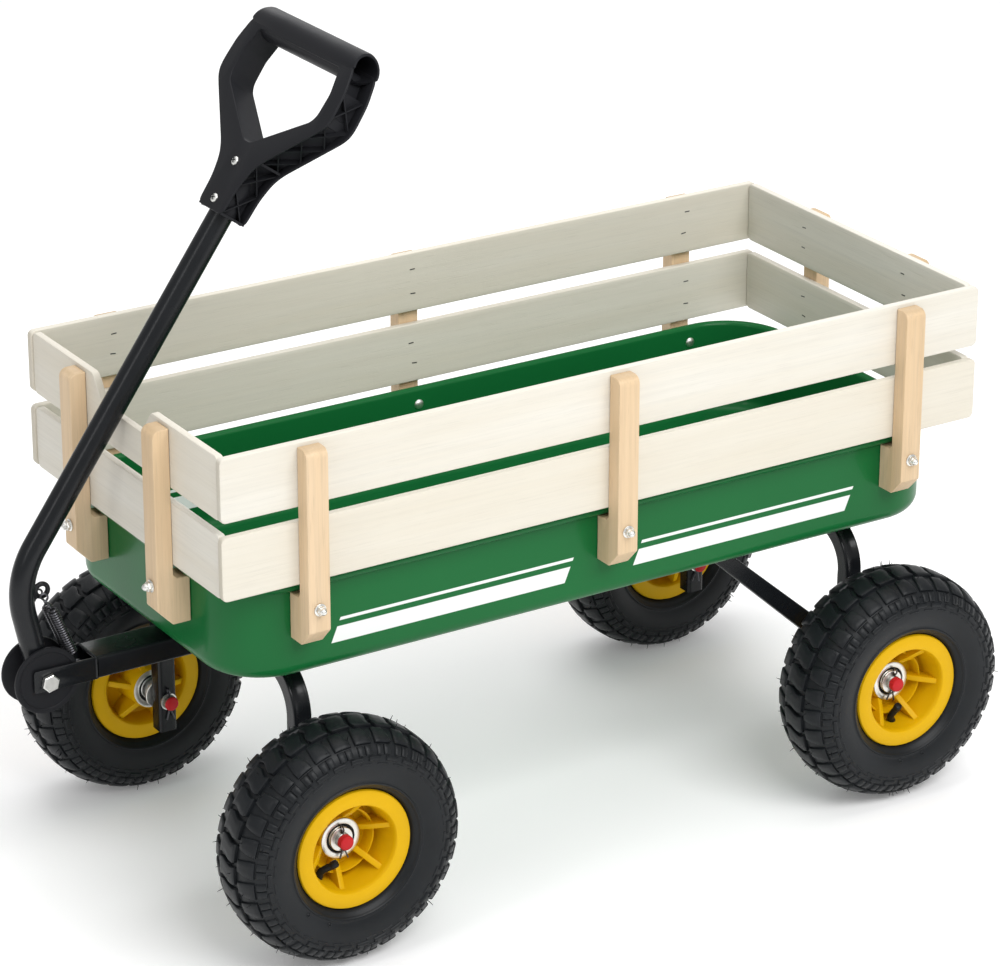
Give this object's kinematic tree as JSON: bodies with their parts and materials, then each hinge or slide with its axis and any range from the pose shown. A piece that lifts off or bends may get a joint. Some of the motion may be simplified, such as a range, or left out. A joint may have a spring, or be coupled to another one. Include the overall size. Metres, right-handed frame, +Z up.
{
  "type": "wagon with pull handle",
  "caption": "Child's pull wagon: green steel tub with slatted wooden rails, air tyres on yellow hubs, bent-tube axle arches and a hinged D-grip pull handle that steers.",
  "frame": {"origin": "on the floor under the middle of the overall length and width, hinge discs to rear nuts", "axes": "+X towards the rear along the wagon's length, +Y towards its right side, +Z up; the pull handle is at the -X end"},
  "size_m": [1.0616, 0.527, 0.8779],
  "materials": {
    "green_paint": "gloss green stove enamel on pressed steel",
    "pale_wood": "smooth pale basswood, clear sealed",
    "stake_wood": "planed pine, clear sealed",
    "black_paint": "gloss black enamel on steel",
    "black_plastic": "satin moulded black nylon",
    "tyre_rubber": "black tyre rubber with a slight sheen",
    "yellow_plastic": "satin yellow moulded plastic",
    "red_plastic": "soft red plastic end caps",
    "zinc": "bright zinc plate",
    "spring_steel": "dark oiled spring steel"
  },
  "bodies": {
    "tub_and_rear_axle": {"tub": "green_paint", "left_upper_slat": "pale_wood", "left_lower_slat": "pale_wood", "right_upper_slat": "pale_wood", "right_lower_slat": "pale_wood", "front_upper_slat": "pale_wood", "front_lower_slat": "pale_wood", "rear_upper_slat": "pale_wood", "rear_lower_slat": "pale_wood", "left_front_stake": "stake_wood", "left_middle_stake": "stake_wood", "left_rear_stake": "stake_wood", "right_front_stake": "stake_wood", "right_middle_stake": "stake_wood", "right_rear_stake": "stake_wood", "front_end_left_stake": "stake_wood", "front_end_right_stake": "stake_wood", "rear_end_left_stake": "stake_wood", "rear_end_right_stake": "stake_wood", "left_front_stake_bolt": "zinc", "left_middle_stake_bolt": "zinc", "left_rear_stake_bolt": "zinc", "right_front_stake_bolt": "zinc", "right_middle_stake_bolt": "zinc", "right_rear_stake_bolt": "zinc", "front_end_left_stake_bolt": "zinc", "front_end_right_stake_bolt": "zinc", "rear_end_left_stake_bolt": "zinc", "rear_end_right_stake_bolt": "zinc", "upper_turntable_plate": "black_paint", "kingpin": "zinc", "rear_axle_bracket": "black_paint", "rear_axle_arch": "black_paint", "left_rear_brace": "black_paint", "right_rear_brace": "black_paint", "rear_left_stub_axle": "zinc", "rear_right_stub_axle": "zinc"},
    "front_steering": {"front_axle_arch": "black_paint", "tongue": "black_paint", "left_hinge_disc": "black_plastic", "right_hinge_disc": "black_plastic", "hinge_bolt": "zinc", "left_return_spring": "spring_steel", "right_return_spring": "spring_steel", "front_left_stub_axle": "zinc", "front_right_stub_axle": "zinc"},
    "pull_handle": {"handle_tube": "black_paint", "handle_grip": "black_plastic"},
    "front_left_wheel": {"front_left_tyre": "tyre_rubber", "front_left_hub": "yellow_plastic", "front_left_bearings": "zinc"},
    "front_right_wheel": {"front_right_tyre": "tyre_rubber", "front_right_hub": "yellow_plastic", "front_right_bearings": "zinc"},
    "rear_left_wheel": {"rear_left_tyre": "tyre_rubber", "rear_left_hub": "yellow_plastic", "rear_left_bearings": "zinc"},
    "rear_right_wheel": {"rear_right_tyre": "tyre_rubber", "rear_right_hub": "yellow_plastic", "rear_right_bearings": "zinc"}
  },
  "joints": [
    {"name": "steering", "type": "hinge", "parent": "tub_and_rear_axle", "child": "front_steering", "pos_m": [-0.2858, 0, 0.285], "axis": [0, 0, 1], "range_deg": [-12, 12]},
    {"name": "handle_hinge", "type": "hinge", "parent": "front_steering", "child": "pull_handle", "pos_m": [-0.4958, 0, 0.2665], "axis": [0, -1, 0], "range_deg": [0, 135], "stiffness_Nm_per_rad": 1.5},
    {"name": "front_left_wheel_spin", "type": "hinge", "parent": "front_steering", "child": "front_left_wheel", "pos_m": [-0.2858, -0.221, 0.127], "axis": [0, 1, 0], "continuous": true},
    {"name": "front_right_wheel_spin", "type": "hinge", "parent": "front_steering", "child": "front_right_wheel", "pos_m": [-0.2858, 0.221, 0.127], "axis": [0, 1, 0], "continuous": true},
    {"name": "rear_left_wheel_spin", "type": "hinge", "parent": "tub_and_rear_axle", "child": "rear_left_wheel", "pos_m": [0.3902, -0.221, 0.127], "axis": [0, 1, 0], "continuous": true},
    {"name": "rear_right_wheel_spin", "type": "hinge", "parent": "tub_and_rear_axle", "child": "rear_right_wheel", "pos_m": [0.3902, 0.221, 0.127], "axis": [0, 1, 0], "continuous": true}
  ]
}
